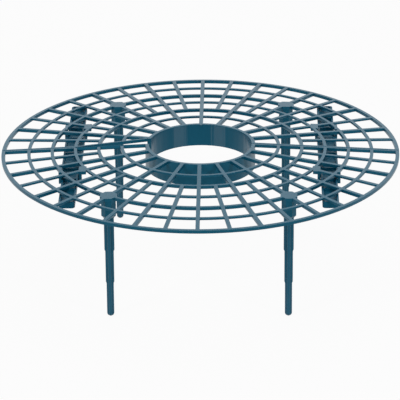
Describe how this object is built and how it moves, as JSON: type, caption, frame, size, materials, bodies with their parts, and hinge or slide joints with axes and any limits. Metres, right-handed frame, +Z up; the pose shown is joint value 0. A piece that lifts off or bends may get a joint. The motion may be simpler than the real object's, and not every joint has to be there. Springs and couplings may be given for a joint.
{
  "type": "plant support rack",
  "caption": "Round two-piece grid rack with a central collar, tie bars under the grid and plug-in stepped stakes, which holds leaves and fruit off the soil.",
  "frame": {"origin": "on the ground plane through the stakes' tips, below the centre of the collar", "axes": "+Z up, +X to the viewer's right along the seam between the halves, +Y away from the viewer"},
  "size_m": [0.3, 0.3, 0.1004],
  "materials": {
    "grid_plastic": "satin moulded polypropylene",
    "bar_plastic": "satin moulded polypropylene",
    "leg_plastic": "satin moulded polypropylene"
  },
  "bodies": {
    "front_half": {"front_half_grid": "grid_plastic"},
    "back_half": {"back_half_grid": "grid_plastic"},
    "left_bar": {"left_tie_bar": "bar_plastic"},
    "right_bar": {"right_tie_bar": "bar_plastic"},
    "front_left_stake": {"front_left_leg": "leg_plastic"},
    "front_right_stake": {"front_right_leg": "leg_plastic"},
    "back_left_stake": {"back_left_leg": "leg_plastic"},
    "back_right_stake": {"back_right_leg": "leg_plastic"}
  },
  "joints": [
    {"name": "halves_slide", "type": "slide", "parent": "front_half", "child": "back_half", "axis": [0, 1, 0], "range_m": [0, 0.09]},
    {"name": "left_bar_slide", "type": "slide", "parent": "front_half", "child": "left_bar", "axis": [0, 1, 0], "range_m": [0, 0.045]},
    {"name": "right_bar_slide", "type": "slide", "parent": "front_half", "child": "right_bar", "axis": [0, 1, 0], "range_m": [0, 0.045]},
    {"name": "front_left_leg_plug", "type": "slide", "parent": "front_half", "child": "front_left_stake", "axis": [0, 0, -1], "range_m": [0, 0.014]},
    {"name": "front_right_leg_plug", "type": "slide", "parent": "front_half", "child": "front_right_stake", "axis": [0, 0, -1], "range_m": [0, 0.014]},
    {"name": "back_left_leg_plug", "type": "slide", "parent": "back_half", "child": "back_left_stake", "axis": [0, 0, -1], "range_m": [0, 0.014]},
    {"name": "back_right_leg_plug", "type": "slide", "parent": "back_half", "child": "back_right_stake", "axis": [0, 0, -1], "range_m": [0, 0.014]}
  ],
  "couplings": [
    {"joint": "left_bar_slide", "follows": "halves_slide", "ratio": 0.5},
    {"joint": "right_bar_slide", "follows": "halves_slide", "ratio": 0.5}
  ]
}
